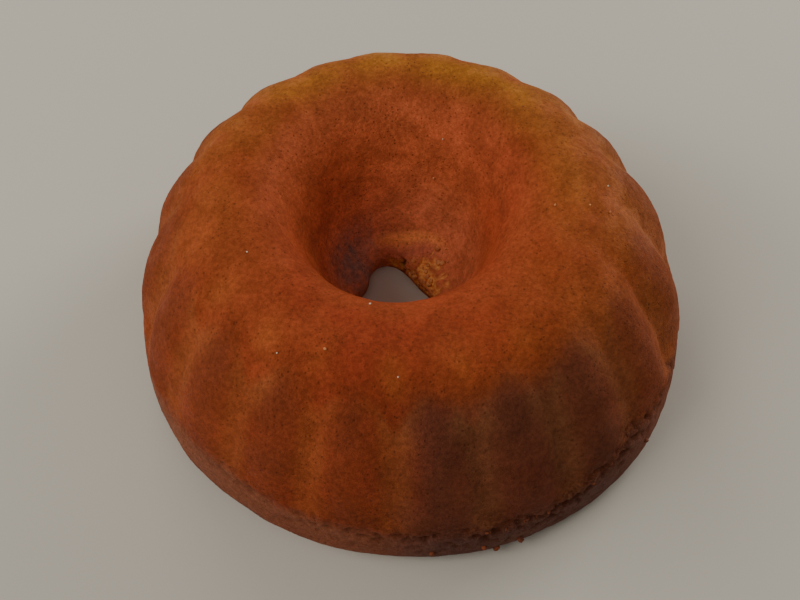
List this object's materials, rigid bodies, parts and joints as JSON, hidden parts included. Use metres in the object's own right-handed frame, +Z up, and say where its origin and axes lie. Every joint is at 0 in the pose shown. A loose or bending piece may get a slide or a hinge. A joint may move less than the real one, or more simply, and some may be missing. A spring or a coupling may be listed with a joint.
{
  "type": "fluted ring cake",
  "caption": "Whole fluted ring cake with a browned crust, rounded lobes round its wall and a funnel-shaped hole through the middle.",
  "frame": {"origin": "middle of the cake's box on the plane of its flat underside", "axes": "+Z up through the hole, -Y towards the front of the cake"},
  "size_m": [0.258, 0.2522, 0.0966],
  "materials": {
    "crust": "matt browned cake crust"
  },
  "bodies": {
    "root": {"cake": "crust"}
  },
  "joints": []
}
